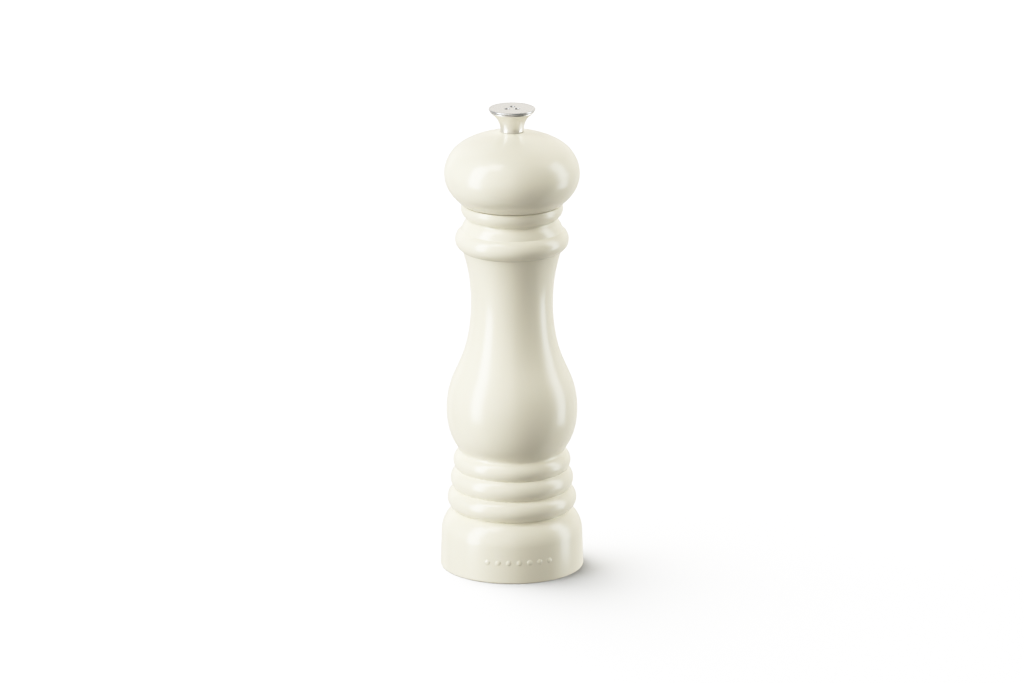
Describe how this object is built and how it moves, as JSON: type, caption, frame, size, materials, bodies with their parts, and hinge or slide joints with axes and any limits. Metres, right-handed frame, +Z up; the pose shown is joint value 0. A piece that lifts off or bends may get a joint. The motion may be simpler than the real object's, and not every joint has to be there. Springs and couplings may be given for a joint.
{
  "type": "pepper mill",
  "caption": "Tall turned pepper mill with a glossy ivory body, a mushroom head that turns a ceramic burr, and a metal grind-adjusting knob.",
  "frame": {"origin": "On the table under the mill's axis, at the centre of the foot's lower face.", "axes": "+Z up along the axis that the head and the burr turn about; -Y is the front, with the row of raised beads."},
  "size_m": [0.0638, 0.0638, 0.21],
  "materials": {
    "ivory_gloss": "high gloss, moulded ivory plastic",
    "black_plastic": "fine matt moulding",
    "grey_plastic": "fine matt moulding",
    "white_nylon": "natural nylon",
    "white_ceramic": "unglazed, ground",
    "aluminium": "drawn bar, satin",
    "stainless_steel": "stamped stainless steel",
    "zinc_steel": "zinc-plated steel",
    "brass": "turned",
    "polished_metal": "polished nickel plate"
  },
  "bodies": {
    "mill_body": {"body_shell": "ivory_gloss", "chamber_tube": "black_plastic", "base_insert": "black_plastic", "base_insert_screws": "zinc_steel", "mill_housing": "grey_plastic", "housing_screws": "zinc_steel", "stator_burr": "white_ceramic", "stator_retainer": "aluminium", "upper_spider": "grey_plastic", "shaft_bush": "brass", "lower_bridge": "stainless_steel", "bridge_screws": "zinc_steel", "rotor_spring": "stainless_steel"},
    "burr_carriage": {"spring_seat": "white_nylon"},
    "spindle": {"drive_shaft": "aluminium", "rotor_burr": "white_ceramic", "rotor_washer": "stainless_steel", "rotor_nut": "zinc_steel"},
    "head_carriage": {"glide_ring": "white_nylon"},
    "head": {"head_shell": "ivory_gloss", "head_plug": "black_plastic", "head_screws": "zinc_steel", "drive_plate": "stainless_steel", "drive_plate_screws": "zinc_steel"},
    "knob_carriage": {"knob_washer": "white_nylon"},
    "knob": {"knob_body": "polished_metal", "knob_insert": "brass", "knob_cap": "polished_metal"}
  },
  "joints": [
    {"name": "grind_adjust", "type": "slide", "parent": "mill_body", "child": "burr_carriage", "axis": [0, 0, 1], "range_m": [-0.001, 0.0006], "deforming": ["rotor_spring"]},
    {"name": "shaft_turn", "type": "hinge", "parent": "burr_carriage", "child": "spindle", "pos_m": [0, 0, 0.022], "axis": [0, 0, 1], "continuous": true},
    {"name": "head_lift", "type": "slide", "parent": "mill_body", "child": "head_carriage", "axis": [0, 0, 1], "range_m": [0, 0.06]},
    {"name": "head_turn", "type": "hinge", "parent": "head_carriage", "child": "head", "pos_m": [0, 0, 0.18], "axis": [0, 0, 1], "continuous": true},
    {"name": "knob_lift", "type": "slide", "parent": "head", "child": "knob_carriage", "axis": [0, 0, 1], "range_m": [0, 0.02]},
    {"name": "knob_turn", "type": "hinge", "parent": "knob_carriage", "child": "knob", "pos_m": [0, 0, 0.204], "axis": [0, 0, 1], "range_deg": [-270, 450]}
  ],
  "couplings": [
    {"joint": "shaft_turn", "follows": "head_turn", "ratio": 1},
    {"joint": "knob_turn", "follows": "grind_adjust", "rad_per_m": -7854}
  ]
}
